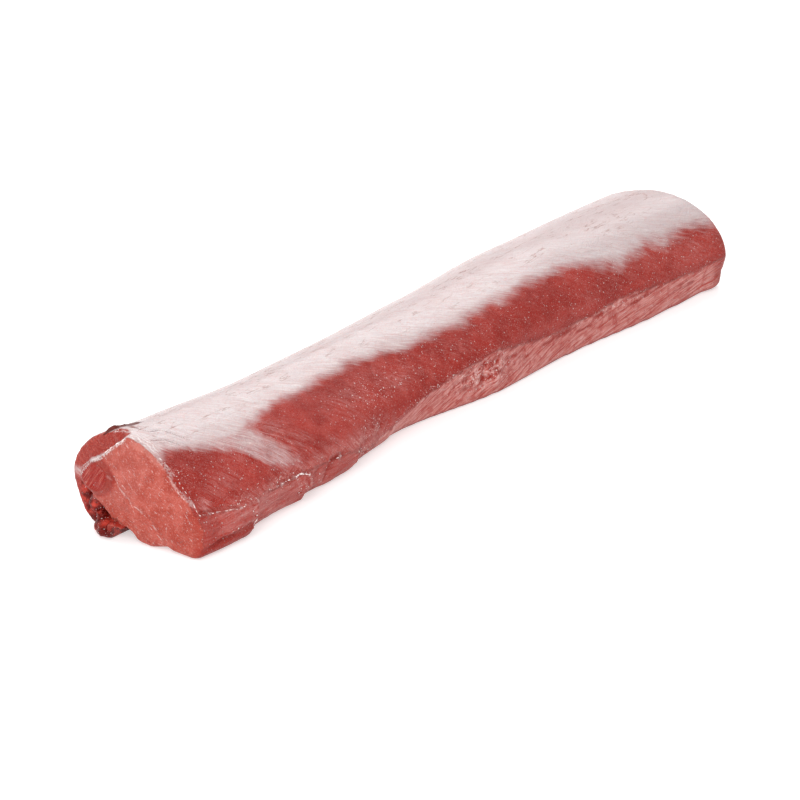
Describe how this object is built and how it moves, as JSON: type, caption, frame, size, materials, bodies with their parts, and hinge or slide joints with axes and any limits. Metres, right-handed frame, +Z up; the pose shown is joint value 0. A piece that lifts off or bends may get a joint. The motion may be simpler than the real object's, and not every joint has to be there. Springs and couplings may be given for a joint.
{
  "type": "raw venison striploin",
  "caption": "Raw boneless venison striploin, a long rounded cut of meat with pale silverskin on top, a red trimmed flank, a cut end showing the grain, and a flat underside.",
  "frame": {"origin": "middle of the flat underside's bounding box, on the surface the meat lies on", "axes": "+X along the loin from the thick cut end to the thin end, +Z up, -Y towards the trimmed flank"},
  "size_m": [0.5302, 0.1084, 0.0624],
  "materials": {
    "raw_venison": "moist raw red meat under a thin pale silverskin"
  },
  "bodies": {
    "root": {"striploin": "raw_venison"}
  },
  "joints": []
}
